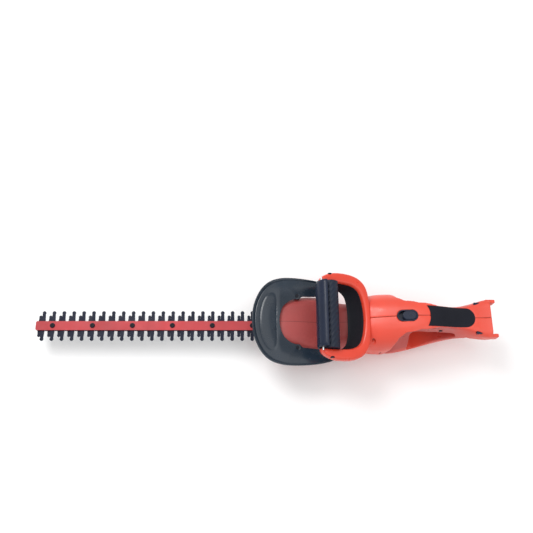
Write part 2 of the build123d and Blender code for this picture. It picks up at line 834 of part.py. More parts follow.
with BuildPart() as switch_bar_springs:
    for way in (-1, 1):
        add(coil_spring(bar_pivot_x, way * (bar_half_length + 1), bar_pivot_z, way, 3.0, 0.9, 1.3, 4))
save(switch_bar_springs, "switch_bar_springs")

# =====================================================================================
# Rear handle: lock-off button, trigger, switches, wiring and battery socket
# =====================================================================================
bezel_wall = 2.0
bezel_floor = 3.0
with BuildPart() as button_bezel:
    with BuildSketch(button_plane.offset(-13)):
        SlotOverall(bezel_length, bezel_width)
    extrude(amount=13.8)
    with BuildSketch(button_plane.offset(-13 + bezel_floor)):
        SlotOverall(bezel_length - 2 * bezel_wall, bezel_width - 2 * bezel_wall)
    extrude(amount=20, mode=Mode.SUBTRACT)
save(button_bezel, "button_bezel")

button_length = bezel_length - 2 * bezel_wall - button_travel - 1.0
button_width = bezel_width - 2 * bezel_wall - 0.8
with BuildPart() as lock_button:
    with BuildSketch(button_plane.offset(-13 + bezel_floor + 0.3)):
        with Locations(((button_travel + 1.0) / 2 - 0.4, 0)):
            SlotOverall(button_length, button_width)
    extrude(amount=12.5)
    fillet(lock_button.faces().sort_by(Axis.Z)[-1].edges(), 2.0)
save(lock_button, "lock_button")

with BuildPart() as trigger:
    with BuildSketch(side):
        with BuildLine():
            Polyline((311.5, 104), (311.5, 97), (316, 84), (330, 88), (343, 84), (349, 95), (349, 104), close=True)
        make_face()
        with Locations((trigger_pivot_x, trigger_pivot_z)):
            Circle(4.6)
            Circle(pin_radius + running_gap, mode=Mode.SUBTRACT)
    extrude(amount=trigger_half_width, both=True)
save(trigger, "trigger")

with BuildPart() as trigger_pin:
    add(across(trigger_pivot_x, trigger_pivot_z, pin_radius, -14, 14))
save(trigger_pin, "trigger_pin")

with BuildPart() as trigger_spring:
    add(coil_spring(trigger_pivot_x, trigger_half_width + 0.8, trigger_pivot_z, 1, 3.0, 0.8, 1.2, 3))
save(trigger_spring, "trigger_spring")

with BuildPart() as trigger_switch:
    with Locations((336, 0, 119)):
        Box(26, 10, 12)
    with Locations((328, 0, 112.4)):
        Box(4, 5, 1.2)
    with Locations((347, 0, 122), (351.5, 0, 122)):
        Box(7, 6, 1)
save(trigger_switch, "trigger_switch")

with BuildPart() as circuit_board:
    with Locations((232, 0, 44)):
        Box(50, 44, 1.6)
    with Locations((222, 8, 50)):
        Cylinder(7, 10.5)
    with Locations((240, -8, 48.5)):
        Box(14, 10, 7.5)
    with Locations((216, -12, 46.8)):
        Box(8, 8, 4)
save(circuit_board, "circuit_board")

with BuildPart() as battery_socket:
    add(
        box_between(
            (socket_front_x, -socket_half_width, socket_low_z),
            (466, socket_half_width, socket_high_z),
        )
    )
    add(
        box_between(
            (socket_front_x + socket_wall, -socket_half_width + 3, socket_low_z + 3),
            (470, socket_half_width - 3, socket_high_z - 3),
        ),
        mode=Mode.SUBTRACT,
    )
    for way in (-1, 1):
        rail = box_between((442, 25, 99), (465, 30.5, 103))
        add(rail if way > 0 else mirror(rail, about=Plane.XZ))
save(battery_socket, "battery_socket")

with BuildPart() as terminal_block:
    with Locations((443, 0, 99)):
        Box(9, 34, 14)
save(terminal_block, "terminal_block")

with BuildPart() as terminal_blades:
    with Locations([(453.5, y, 99) for y in (-12, -4, 4, 12)]):
        Box(12, 1.2, 8)
save(terminal_blades, "terminal_blades")

lead_radius = 1.1
lead_corners = [
    (435.4, 100),
    (404, 111),
    (356, 124),
    (318, 118),
    (292, 104),
    (248, 90),
    (196, 62),
    (172, 40),
    (125, 34),
]
with BuildPart() as power_leads:
    for way in (-1, 1):
        with BuildLine(Plane.XZ.offset(way * 7.0)):
            path = FilletPolyline(*lead_corners, radius=12)
        with BuildSketch(Plane(origin=path @ 0, z_dir=path % 0)):
            Circle(lead_radius)
        sweep(path=path)
save(power_leads, "power_leads")
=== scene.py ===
import json
from math import atan, cos, pi, radians, sin, sqrt, tan

import bpy
import numpy as np
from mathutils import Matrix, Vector


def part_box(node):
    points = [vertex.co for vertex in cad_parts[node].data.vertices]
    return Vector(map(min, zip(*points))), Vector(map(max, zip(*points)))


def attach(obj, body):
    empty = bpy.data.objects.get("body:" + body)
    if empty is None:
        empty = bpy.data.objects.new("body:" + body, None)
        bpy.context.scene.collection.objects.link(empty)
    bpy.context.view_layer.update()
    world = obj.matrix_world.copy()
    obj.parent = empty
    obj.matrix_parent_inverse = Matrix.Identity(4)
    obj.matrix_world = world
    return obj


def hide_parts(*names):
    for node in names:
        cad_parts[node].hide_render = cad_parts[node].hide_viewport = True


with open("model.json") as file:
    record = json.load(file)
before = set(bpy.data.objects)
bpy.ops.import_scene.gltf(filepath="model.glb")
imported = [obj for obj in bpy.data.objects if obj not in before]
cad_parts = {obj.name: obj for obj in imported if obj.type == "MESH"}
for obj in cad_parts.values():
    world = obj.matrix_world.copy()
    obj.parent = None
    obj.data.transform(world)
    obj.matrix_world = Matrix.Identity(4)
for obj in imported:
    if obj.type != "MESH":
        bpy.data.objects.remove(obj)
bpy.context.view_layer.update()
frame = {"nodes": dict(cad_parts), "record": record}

nodes = frame["nodes"]
mm = 0.001

# Texture scales in cycles per metre, and depths in metres
mottle_scale = 14.0
smudge_scale = 60.0
ground_line_scale = 260.0
ground_line_depth = 0.00006
wear_scale = 90.0
seam_half_width = 0.0004

# A noise texture's usual span, which remap spreads out
noise_low = 0.3
noise_high = 0.7
# How far the roughness swings, and how far drawn streaks change the colour
smudge_swing = (-0.07, 0.09)
wear_swing = (-0.08, 0.14)
streak_shades = (0.82, 1.15)
# How squarely a face has to look along the tool to count as ground steel, which also stands in for a
# painted glint on the bevels
ground_from = 0.35
ground_full = 0.6

# bright steel for the teeth's side faces: real ground steel together with a painted glint
ground_steel_and_glint = (0.42, 0.43, 0.46)
seam_shade = (0.12, 0.016, 0.014)
# a darker orange painted into the side scoops as shade
scoop_shade_orange = (0.34, 0.03, 0.026)


# ---------------------------------------------------------------------------------------
# Materials: every one has its own grain, mottling and roughness variation
# ---------------------------------------------------------------------------------------
def new_material(name, base, roughness, metallic=0.0, coat=0.0):
    """A Principled material, its node tree and its shader."""
    mat = bpy.data.materials.new(name)
    mat.use_nodes = True
    tree = mat.node_tree
    shader = tree.nodes["Principled BSDF"]
    shader.inputs["Metallic"].default_value = metallic
    shader.inputs["Coat Weight"].default_value = coat
    shader.inputs["Coat Roughness"].default_value = 0.12
    shader.inputs["Base Color"].default_value = (*base, 1.0)
    shader.inputs["Roughness"].default_value = roughness
    return mat, tree, shader


def noise(tree, scale, detail=4.0, stretch=(1, 1, 1)):
    """Noise in the object's own coordinates, in cycles per metre."""
    place = tree.nodes.new("ShaderNodeTexCoord")
    mapping = tree.nodes.new("ShaderNodeMapping")
    mapping.inputs["Scale"].default_value = stretch
    tree.links.new(place.outputs["Object"], mapping.inputs["Vector"])
    texture = tree.nodes.new("ShaderNodeTexNoise")
    texture.inputs["Scale"].default_value = scale
    texture.inputs["Detail"].default_value = detail
    tree.links.new(mapping.outputs["Vector"], texture.inputs["Vector"])
    return texture.outputs["Fac"]


def remap(tree, value, low, high):
    """Carries a noise signal to the given range."""
    node = tree.nodes.new("ShaderNodeMapRange")
    node.inputs["From Min"].default_value = noise_low
    node.inputs["From Max"].default_value = noise_high
    node.inputs["To Min"].default_value = low
    node.inputs["To Max"].default_value = high
    tree.links.new(value, node.inputs["Value"])
    return node.outputs["Result"]


def mix_colour(tree, factor, dark, light):
    """A colour that goes from dark to light as the factor goes from 0 to 1."""
    node = tree.nodes.new("ShaderNodeMix")
    node.data_type = "RGBA"
    node.inputs["A"].default_value = (*dark, 1.0)
    node.inputs["B"].default_value = (*light, 1.0)
    tree.links.new(factor, node.inputs["Factor"])
    return node.outputs["Result"]


def bump(tree, shader, height, distance, strength=1.0):
    """Adds a bump of the given depth in metres, on top of any that is there."""
    node = tree.nodes.new("ShaderNodeBump")
    node.inputs["Distance"].default_value = distance
    node.inputs["Strength"].default_value = strength
    tree.links.new(height, node.inputs["Height"])
    socket = shader.inputs["Normal"]
    if socket.is_linked:
        tree.links.new(socket.links[0].from_socket, node.inputs["Normal"])
    tree.links.new(node.outputs["Normal"], socket)


def coordinate(tree, kind, axis):
    """One axis of the object's own places or normals."""
    place = tree.nodes.new("ShaderNodeTexCoord")
    split = tree.nodes.new("ShaderNodeSeparateXYZ")
    tree.links.new(place.outputs[kind], split.inputs["Vector"])
    return split.outputs[axis]


def tint(tree, shader, factor, colour):
    """Carries the base colour towards another one where the factor is strong."""
    tinted = tree.nodes.new("ShaderNodeMix")
    tinted.data_type = "RGBA"
    tinted.inputs["B"].default_value = (*colour, 1.0)
    socket = shader.inputs["Base Color"]
    tree.links.new(socket.links[0].from_socket, tinted.inputs["A"])
    tree.links.new(factor, tinted.inputs["Factor"])
    tree.links.new(tinted.outputs["Result"], socket)


def shade(colour, by):
    """The colour made lighter or darker."""
    return tuple(min(1.0, max(0.0, c * by)) for c in colour)


def plastic(name, base, roughness, grain=900.0, depth=0.00012, spread=0.1, coat=0.0, gloss=0.5):
    """Moulded plastic: fine spark texture, faint mottling, uneven gloss."""
    mat, tree, shader = new_material(name, base, roughness, 0.0, coat)
    shader.inputs["Specular IOR Level"].default_value = gloss
    clouds = remap(tree, noise(tree, mottle_scale, 6.0), 0.0, 1.0)
    mottled = mix_colour(tree, clouds, shade(base, 1 - spread), shade(base, 1 + spread))
    tree.links.new(mottled, shader.inputs["Base Color"])
    least, most = (roughness + swing for swing in smudge_swing)
    smudges = remap(tree, noise(tree, smudge_scale, 8.0), least, most)
    tree.links.new(smudges, shader.inputs["Roughness"])
    bump(tree, shader, noise(tree, grain, 3.0), depth, 0.6)
    return mat


def metal(name, base, roughness, stretch=(1, 1, 1), metallic=1.0, gloss=0.5):
    """Metal with drawn or ground lines along the direction that is stretched least."""
    mat, tree, shader = new_material(name, base, roughness, metallic)
    shader.inputs["Specular IOR Level"].default_value = gloss
    lines = noise(tree, ground_line_scale, 6.0, stretch)
    streaks = remap(tree, lines, 0.0, 1.0)
    drawn = mix_colour(tree, streaks, *(shade(base, by) for by in streak_shades))
    tree.links.new(drawn, shader.inputs["Base Color"])
    least, most = (roughness + swing for swing in wear_swing)
    wear = remap(tree, noise(tree, wear_scale, 8.0), least, most)
    tree.links.new(wear, shader.inputs["Roughness"])
    bump(tree, shader, lines, ground_line_depth, 0.5)
    return mat


def ribbed(name, base, roughness, pitch, depth, angle):
    """Rubber or plastic with raised ribs, turned by an angle in degrees."""
    mat = plastic(name, base, roughness, 1400.0, 0.00005, 0.18, gloss=0.25)
    tree = mat.node_tree
    shader = tree.nodes["Principled BSDF"]
    place = tree.nodes.new("ShaderNodeTexCoord")
    mapping = tree.nodes.new("ShaderNodeMapping")
    mapping.inputs["Rotation"].default_value = (0, 0, radians(angle))
    tree.links.new(place.outputs["Object"], mapping.inputs["Vector"])
    wave = tree.nodes.new("ShaderNodeTexWave")
    wave.inputs["Scale"].default_value = 0.5 / pitch / pi
    tree.links.new(mapping.outputs["Vector"], wave.inputs["Vector"])
    bump(tree, shader, wave.outputs["Fac"], depth, 0.8)
    return mat


def ground_sides_and_glint(mat):
    """Bright ground steel on faces that look along the tool, such as the bevels of its teeth: partly the
    bare ground steel, partly a painted glint on those bevels.
    """
    tree = mat.node_tree
    shader = tree.nodes["Principled BSDF"]
    size = tree.nodes.new("ShaderNodeMath")
    size.operation = "ABSOLUTE"
    tree.links.new(coordinate(tree, "Normal", "X"), size.inputs[0])
    reach = tree.nodes.new("ShaderNodeMapRange")
    reach.inputs["From Min"].default_value = ground_from
    reach.inputs["From Max"].default_value = ground_full
    tree.links.new(size.outputs["Value"], reach.inputs["Value"])
    tint(tree, shader, reach.outputs["Result"], ground_steel_and_glint)
    return mat


def seam(mat):
    """A fine dark parting line along the tool's centre plane."""
    tree = mat.node_tree
    shader = tree.nodes["Principled BSDF"]
    near = tree.nodes.new("ShaderNodeMath")
    near.operation = "COMPARE"
    near.inputs[1].default_value = 0.0
    near.inputs[2].default_value = seam_half_width
    tree.links.new(coordinate(tree, "Object", "Y"), near.inputs[0])
    tint(tree, shader, near.outputs["Value"], seam_shade)
    return mat


def paint_scoop_shade(mat):
    """Painted shade: carries the colour towards a darker orange where the mesh's hollow attribute is
    strong, for the shade in the rear shells' side scoops.
    """
    tree = mat.node_tree
    shader = tree.nodes["Principled BSDF"]
    reach = tree.nodes.new("ShaderNodeAttribute")
    reach.attribute_name = "hollow"
    tint(tree, shader, reach.outputs["Fac"], scoop_shade_orange)
    return mat


shell_orange = (0.72, 0.066, 0.036)
ORANGE = seam(plastic("orange_shell_plastic", shell_orange, 0.34, 700.0, 0.0001, 0.08, coat=0.1))
# the rear shells' orange, with painted shade in their side scoops
SCOOP_SHADED_ORANGE = paint_scoop_shade(
    seam(plastic("orange_plastic_scoop_shaded", shell_orange, 0.34, 700.0, 0.0001, 0.08, coat=0.1))
)
BAIL_ORANGE = plastic("orange_handle_plastic", (0.70, 0.05, 0.022), 0.34, 700.0, 0.0001, 0.06, coat=0.1)
# painted shade: the front housing's red is darker than the orange shells, for the shade under the guard
# and bail
SHADE_DARKENED_RED = seam(plastic("shade_darkened_red_plastic", (0.34, 0.045, 0.042), 0.5, 900.0, 0.00018, 0.1))
SMOKE = plastic("smoke_plastic", (0.014, 0.024, 0.038), 0.24, 300.0, 0.00002, 0.15, coat=0.08, gloss=0.4)
NAVY = plastic("navy_black_plastic", (0.008, 0.014, 0.034), 0.3, 900.0, 0.00008, 0.2, gloss=0.3)
BLACK = plastic("black_plastic", (0.008, 0.009, 0.014), 0.52, 900.0, 0.00015, 0.2, gloss=0.25)
GRIP = ribbed("grip_rubber", (0.012, 0.018, 0.034), 0.5, 0.0036, 0.0009, 38)
INLAY = ribbed("inlay_rubber", (0.004, 0.005, 0.011), 0.6, 0.0034, 0.00012, 0)
PLATE = plastic("red_plate_paint", (0.46, 0.036, 0.044), 0.4, 500.0, 0.00006, 0.16, coat=0.04, gloss=0.3)
TOOTH = ground_sides_and_glint(metal("coated_blade_steel", (0.003, 0.006, 0.022), 0.42, (1, 0.08, 1), 0.0, 0.2))
BLACK_OXIDE = metal("black_oxide", (0.004, 0.005, 0.011), 0.4, (1, 1, 1), 0.1, 0.2)
STEEL = metal("bright_steel", (0.62, 0.62, 0.64), 0.24, (1, 0.1, 1))
ALLOY = metal("cast_alloy", (0.55, 0.55, 0.56), 0.42)
BRONZE = metal("sintered_bronze", (0.55, 0.36, 0.17), 0.38)
BOARD = plastic("circuit_laminate", (0.02, 0.16, 0.06), 0.4, 400.0, 0.00006, 0.2)
LEAD = plastic("lead_sleeve", (0.45, 0.03, 0.02), 0.4, 600.0, 0.00004, 0.1)
FELT = plastic("oiled_felt", (0.16, 0.15, 0.13), 0.95, 1600.0, 0.0006, 0.3)

material_of = {
    "orange_shell": ORANGE,
    "red_shell": SHADE_DARKENED_RED,
    "smoke_plastic": SMOKE,
    "black_grip": GRIP,
    "black_plastic": NAVY,
    "red_plate": PLATE,
    "blade_steel": TOOTH,
    "fastener_black": BLACK_OXIDE,
    "steel": STEEL,
    "cast_alloy": ALLOY,
    "gear_steel": STEEL,
    "bronze": BRONZE,
    "felt": FELT,
    "board": BOARD,
    "contact": BRONZE,
    "lead": LEAD,
    "terminal": BLACK,
}
for subpart in frame["record"]["subparts"]:
    thing = nodes[subpart["node"]]
    thing.data.materials.clear()
    thing.data.materials.append(material_of[subpart["material_slot"]])
nodes["handle_inlay"].data.materials[0] = INLAY


def soften(name, width):
    """Rounds a CAD node's sharp edges without moving its faces."""
    thing = nodes[name]
    rounding = thing.modifiers.new("rounding", "BEVEL")
    rounding.width = width
    rounding.segments = 3
    rounding.limit_method = "ANGLE"
    rounding.angle_limit = radians(35)
    rounding.harden_normals = True


for name in ("upper_blade", "lower_blade"):
    soften(name, 0.7 * mm)
soften("blade_plate", 0.4 * mm)
for name in ("lock_button", "button_bezel", "trigger"):
    soften(name, 0.8 * mm)


# ---------------------------------------------------------------------------------------
# Mesh helpers
# ---------------------------------------------------------------------------------------
def smooth_path(points, count):
    """Points evenly spread along a centripetal Catmull-Rom curve through the given ones."""
    power = 0.5
    steps_each = 40
    p = np.array(points, float)
    ends = np.vstack([2 * p[0] - p[1], p, 2 * p[-1] - p[-2]])
    out = []
    for i in range(1, len(ends) - 2):
        a, b, c, d = ends[i - 1], ends[i], ends[i + 1], ends[i + 2]
        ta = 0.0
        tb = ta + np.linalg.norm(b - a) ** power
        tc = tb + np.linalg.norm(c - b) ** power
        td = tc + np.linalg.norm(d - c) ** power
        for t in np.linspace(tb, tc, steps_each, endpoint=False):
            ab = (tb - t) / (tb - ta) * a + (t - ta) / (tb - ta) * b
            bc = (tc - t) / (tc - tb) * b + (t - tb) / (tc - tb) * c
            cd = (td - t) / (td - tc) * c + (t - tc) / (td - tc) * d
            abc = (tc - t) / (tc - ta) * ab + (t - ta) / (tc - ta) * bc
            bcd = (td - t) / (td - tb) * bc + (t - tb) / (td - tb) * cd
            out.append((tc - t) / (tc - tb) * abc + (t - tb) / (tc - tb) * bcd)
    out = np.array(out + [p[-1]])
    steps = np.r_[0, np.cumsum(np.linalg.norm(np.diff(out, axis=0), axis=1))]
    wanted = np.linspace(0, steps[-1], count)
    return np.stack([np.interp(wanted, steps, out[:, k]) for k in range(out.shape[1])], 1)


def mesh_piece(name, verts, faces, mat, body, replaces=()):
    """A mesh in millimetres made into a piece that rides on a body."""
    mesh = bpy.data.meshes.new(name)
    mesh.from_pydata([Vector(v) * mm for v in verts], [], faces)
    mesh.validate()
    mesh.update()
    mesh.materials.append(mat)
    piece = bpy.data.objects.new(name, mesh)
    bpy.context.scene.collection.objects.link(piece)
    mesh.shade_smooth()
    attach(piece, body)
    if replaces:
        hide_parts(*replaces)
    return piece


def grid_faces(rows, columns, close_columns=False):
    """Quads over a grid of vertices stored row by row."""
    faces = []
    for i in range(rows - 1):
        for j in range(columns - (0 if close_columns else 1)):
            a = i * columns + j
            b = i * columns + (j + 1) % columns
            c = (i + 1) * columns + (j + 1) % columns
            d = (i + 1) * columns + j
            faces.append((a, b, c, d))
    return faces


def closed_tube_faces(rows, ring):
    """Quads round a tube of vertex rings, with a face over each end."""
    faces = grid_faces(rows, ring, close_columns=True)
    faces.append(tuple(range(ring - 1, -1, -1)))
    faces.append(tuple((rows - 1) * ring + k for k in range(ring)))
    return faces


def both_halves(points, count):
    """A smooth outline over both sides of the tool from its right half."""
    return smooth_path([(x, -y) for x, y in reversed(points[1:])] + list(points), count)


def thicken(piece, thickness):
    """Gives a sheet of faces its wall, on the side away from its normals."""
    wall = piece.modifiers.new("wall", "SOLIDIFY")
    wall.thickness = thickness * mm
    wall.offset = -1


def round_edges(piece, width, segments=3):
    """Rounds a piece's own sharp edges."""
    edge = piece.modifiers.new("edge", "BEVEL")
    edge.width = width * mm
    edge.segments = segments
    edge.angle_limit = radians(50)


# ---------------------------------------------------------------------------------------
# Smoke guard: dished collar with a rolled rim and an embossed lens at its nose
# ---------------------------------------------------------------------------------------
guard_rear_x = 158
rim_half = [(-20, 0), (-17.5, 28), (-9.5, 52), (2, 71), (17, 84), (38, 91.5)]
rim_half += [(62, 93.6), (104, 91), (135, 85), (guard_rear_x, 76)]
throat_half = [(37, 0), (39, 18), (44, 30.5), (51, 38.5), (60, 45), (73, 49)]
# the throat steps out beside the second pair of screws
throat_half += [(79, 49.5), (83, 54), (100, 55.5), (120, 57), (140, 56), (guard_rear_x, 53)]
guard_span = 240
guard_rows = 34
guard_wall = 3.0
guard_crown = 2.6
# heights of the rim and of the throat at the nose, and how they fall towards the rear and the sides
rim_nose = 99.5
rim_fall = 0.155
throat_nose = 93.5
throat_fall = 0.215
throat_side_fall = 0.02
guard_dish = 0.65  # the share of the climb to the rim that is curved
rim_roll = 1.6  # the roll that stands up along the rim, and the groove just inside it
rim_groove = 0.8
rim_roll_at = 0.93  # places across the guard, from 0 at the throat to 1 at the rim
rim_groove_at = 0.9
rim_roll_steepness = 160
rim_groove_width = 0.02
lens_centre = 13.0
lens_half_x = 16.5
lens_half_y = 60.0
lens_dome = 1.6
lens_groove = 0.9
lens_groove_width = 0.07
lens_squareness = 2.4
lens_bow = 0.0024


def guard_height(x, y, across):
    """Height of the guard's upper face; across is 0 at the throat and 1 at the rim."""
    rim = rim_nose - rim_fall * x
    throat = throat_nose - throat_fall * max(x - throat_half[0][0], 0) - throat_side_fall * abs(y)
    body = throat + (rim - throat) * ((1 - guard_dish) * across + guard_dish * across**2)
    crown = guard_crown * sin(pi * across) ** 2
    return body + crown


def lens_relief(x, y):
    """A raised oval with a groove round it, bent round the nose."""
    bow = lens_bow * y * y
    u = (x - bow - lens_centre) / lens_half_x
    v = y / lens_half_y
    d = (abs(u) ** lens_squareness + abs(v) ** lens_squareness) ** (1 / lens_squareness)
    groove = -lens_groove * np.exp(-(((d - 1.0) / lens_groove_width) ** 2))
    dome = lens_dome * max(0.0, 1 - d * d)
    return groove + dome


def rim_profile(across):
    """The rolled edge of the rim, as a height over the guard's face."""
    roll = rim_roll / (1 + np.exp(-(across - rim_roll_at) * rim_roll_steepness))
    groove = rim_groove * np.exp(-(((across - rim_groove_at) / rim_groove_width) ** 2))
    return roll - groove


def build_guard():
    """The guard as one sheet of faces from throat to rim, given its wall."""
    rim = both_halves(rim_half, guard_span)
    throat = both_halves(throat_half, guard_span)
    verts = []
    for (rx, ry), (tx, ty) in zip(rim, throat):
        for k in range(guard_rows):
            across = k / (guard_rows - 1)
            x = tx + (rx - tx) * across
            y = ty + (ry - ty) * across
            z = guard_height(x, y, across) + lens_relief(x, y)
            z += rim_profile(across)
            verts.append((x, y, z))
    faces = grid_faces(guard_span, guard_rows)
    piece = mesh_piece("guard_moulding", verts, faces, SMOKE, "body", ("guard",))
    thicken(piece, guard_wall)
    round_edges(piece, 0.9)
    return piece


screw_head = 3.4
screws_low, screws_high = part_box("guard_screws")
# place along X, distance from the centre, and the heights of the foot and the top; the front pair
# of screws stands nearer to the centre than the rear pair
guard_bosses_at = [
    (round(screws_low.x / mm + screw_head), 20, 82.0, 95.0),
    (round(screws_high.x / mm - screw_head), round(screws_high.y / mm - screw_head), 68.0, 88.0),
]
boss_waist = 5.0
boss_flare = 2.2
boss_rows = 14
boss_ring = 32


def build_guard_bosses():
    """Waisted pillars that carry the guard on the front housing, round its screws."""
    verts = []
    faces = []
    for x, y, foot, top in guard_bosses_at:
        for way in (-1, 1):
            first = len(verts)
            for i in range(boss_rows):
                t = i / (boss_rows - 1)
                r = boss_waist + boss_flare * abs(2 * t - 1) ** 3
                for k in range(boss_ring):
                    turn = 2 * pi * k / boss_ring
                    verts.append((x + r * cos(turn), way * y + r * sin(turn), foot + (top - foot) * t))
            pillar = closed_tube_faces(boss_rows, boss_ring)
            faces += [tuple(first + v for v in face) for face in pillar]
    piece = mesh_piece("guard_bosses", verts, faces, SMOKE, "body")
    round_edges(piece, 0.5, 2)
    return piece


build_guard()
build_guard_bosses()


# ---------------------------------------------------------------------------------------
# Front bail handle: rounded C-shaped loop, its dark liner and the switch bar on its grip
# ---------------------------------------------------------------------------------------
bail_slope = 18.0
bail_rear = (212.0, 108.0)
bail_outer_half = [(219, 0), (219, 28), (216, 52), (210, 69), (199, 81), (184, 88)]
bail_outer_half += [(163, 91), (142, 89.6), (127, 84), (118, 77), (115, 71)]
bail_inner_half = [(206, 0), (204.5, 22), (200.5, 42), (194, 56), (181, 65)]
bail_inner_half += [(160, 68.6), (140, 69.2), (117, 69.4)]
bail_half_depth = 13.5
bail_tilt = 0.25  # how much the loop's section leans down towards the rear
bail_squareness = 0.62
bail_tip_rows = 9  # rows over which each arm's tip rounds off, and over which it deepens
bail_deepening_rows = 45
bail_tip_depth = 0.72
bail_span = 200
bail_ring = 28


def bail_height(x):
    """Height of the loop's middle plane."""
    return bail_rear[1] + (bail_rear[0] - x) * tan(radians(bail_slope))


def build_bail():
    """A tube of rounded sections between the loop's outer and inner outlines."""
    outer = both_halves(bail_outer_half, bail_span)
    inner = both_halves(bail_inner_half, bail_span)
    verts = []
    for i, ((ox, oy), (ix, iy)) in enumerate(zip(outer, inner)):
        end = min(i, bail_span - 1 - i)
        swell = min(1.0, sqrt(1 - (1 - min(1.0, (end + 0.6) / bail_tip_rows)) ** 2))
        deepening = bail_tip_depth + (1 - bail_tip_depth) * min(1.0, end / bail_deepening_rows)
        depth = bail_half_depth * deepening * swell
        for k in range(bail_ring):
            turn = 2 * pi * k / bail_ring
            out = np.sign(cos(turn)) * abs(cos(turn)) ** bail_squareness * swell
            lift = np.sign(sin(turn)) * abs(sin(turn)) ** bail_squareness * depth
            middle = (ox + ix) / 2
            x = middle + (ox - ix) / 2 * out + lift * sin(radians(bail_slope))
            y = (oy + iy) / 2 + (oy - iy) / 2 * out
            z = bail_height(middle) + lift * cos(radians(bail_slope)) - bail_tilt * (x - middle)
            verts.append((x, y, z))
    faces = closed_tube_faces(bail_span, bail_ring)
    return mesh_piece("bail_loop", verts, faces, BAIL_ORANGE, "body", ("bail",))


liner_outer_half = [(206.5, 0), (205, 22), (201, 42), (194.5, 56.5), (182, 65.5)]
liner_outer_half += [(160, 69), (140, 69.6), (124, 69.8)]
liner_inner_half = [(178, 0), (177.5, 22), (175.5, 38), (171, 52), (163, 60)]
liner_inner_half += [(152, 64.5), (138, 67.2), (124, 68)]
liner_rows = 14
liner_wall = 2.2
liner_foot = 89.0
liner_rise = 0.42
liner_top_rise = 5.0  # how far its top stands above the loop's middle plane
liner_curve = 1.6


def build_liner():
    """The dark funnel inside the loop, falling towards the housing."""
    outer = both_halves(liner_outer_half, bail_span)
    inner = both_halves(liner_inner_half, bail_span)
    verts = []
    for (ox, oy), (ix, iy) in zip(outer, inner):
        high = bail_height(ox) + liner_top_rise
        low = liner_foot + liner_rise * (liner_inner_half[0][0] - ix)
        for k in range(liner_rows):
            t = k / (liner_rows - 1)
            verts.append((ix + (ox - ix) * t, iy + (oy - iy) * t, low + (high - low) * t**liner_curve))
    faces = grid_faces(bail_span, liner_rows)
    piece = mesh_piece("bail_liner", verts, faces, BLACK, "body", ("bail_apron",))
    thicken(piece, liner_wall)
    round_edges(piece, 0.8)
    return piece


grip_low, grip_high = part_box("bail_grip")
switch_lead = 2.5  # how far the switch bar's axis lies in front of the grip's
# the switch bar's axis, as (along, up)
switch_centre = (
    round((grip_low.x + grip_high.x) / 2 / mm, 1) - switch_lead,
    round((grip_low.z + grip_high.z) / 2 / mm, 1),
)
switch_radius = 24.0
switch_wall = 3.4
switch_half_length = 67.0
switch_arc = (104.0, 236.0)
switch_end_at = 0.93  # share of the half length where the ends begin to tuck in
switch_end_reach = 0.07
switch_end_tuck = 1.6
switch_edge_tuck = 1.4
switch_edge_arc = 9.0  # degrees over which the long edges curl in
switch_rows = 90
switch_columns = 44


def build_switch_bar():
    """A shell wrapped round the front of the grip, tucked in along its edges and ends."""
    verts = []
    for v in np.linspace(-1, 1, switch_rows):
        tuck = switch_end_tuck * max(0.0, (abs(v) - switch_end_at) / switch_end_reach) ** 2
        for a in np.linspace(*switch_arc, switch_columns):
            edge = min(a - switch_arc[0], switch_arc[1] - a)
            r = switch_radius - tuck - switch_edge_tuck * max(0.0, 1 - edge / switch_edge_arc) ** 2
            x = switch_centre[0] + r * cos(radians(a))
            z = switch_centre[1] + r * sin(radians(a))
            verts.append((x, v * switch_half_length, z))
    faces = grid_faces(switch_rows, switch_columns)
    piece = mesh_piece(
        "switch_bar_shell", verts, faces, NAVY, "switch_bar", ("switch_bar",)
    )
    thicken(piece, switch_wall)
    round_edges(piece, 1.0)
    return piece


build_bail()
build_liner()
build_switch_bar()


# ---------------------------------------------------------------------------------------
# Rear housing: both shell halves resurfaced, with a scoop in each side below a crest
# ---------------------------------------------------------------------------------------
# pairs of a place along X and a height, a depth or a half width
scoop_crest = [(255, 44), (262, 72), (268, 97), (278, 117), (291, 126), (320, 131)]
scoop_crest += [(360, 128), (400, 117), (450, 112)]
scoop_foot = [(255, 24), (275, 40), (300, 44), (330, 44), (360, 46), (400, 60), (450, 84)]
scoop_depth = [(255, 0), (261, 8), (272, 19), (290, 27), (320, 25), (345, 17)]
scoop_depth += [(370, 11), (400, 6), (440, 2), (455, 0)]
scoop_skew = 2.4
scoop_fullness = 0.6
# how strongly painted shade darkens the hollow, from what depth fully, and how soon past its crest and
# foot
scoop_shade_most = 0.75
scoop_shade_full_depth = 9.0
scoop_shade_crest_fade = 0.06
scoop_shade_foot_fade = 0.2
shell_low, shell_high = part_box("rear_housing_left")
shell_half_width = [(round(shell_low.x / mm), 50), (215, 56), (250, 60), (285, 55), (320, 46)]
shell_half_width += [(357, 37), (400, 33), (435, 37), (round(shell_high.x / mm), 40)]
shell_core = 12.0  # points this near the centre plane stay, clear of the trigger
shell_voxel = 1.5
shell_smoothing_passes = 4


def along(x, table):
    """A value that changes along the tool, from its (place, value) pairs."""
    table = np.array(table, float)
    return np.interp(x, table[:, 0], table[:, 1])


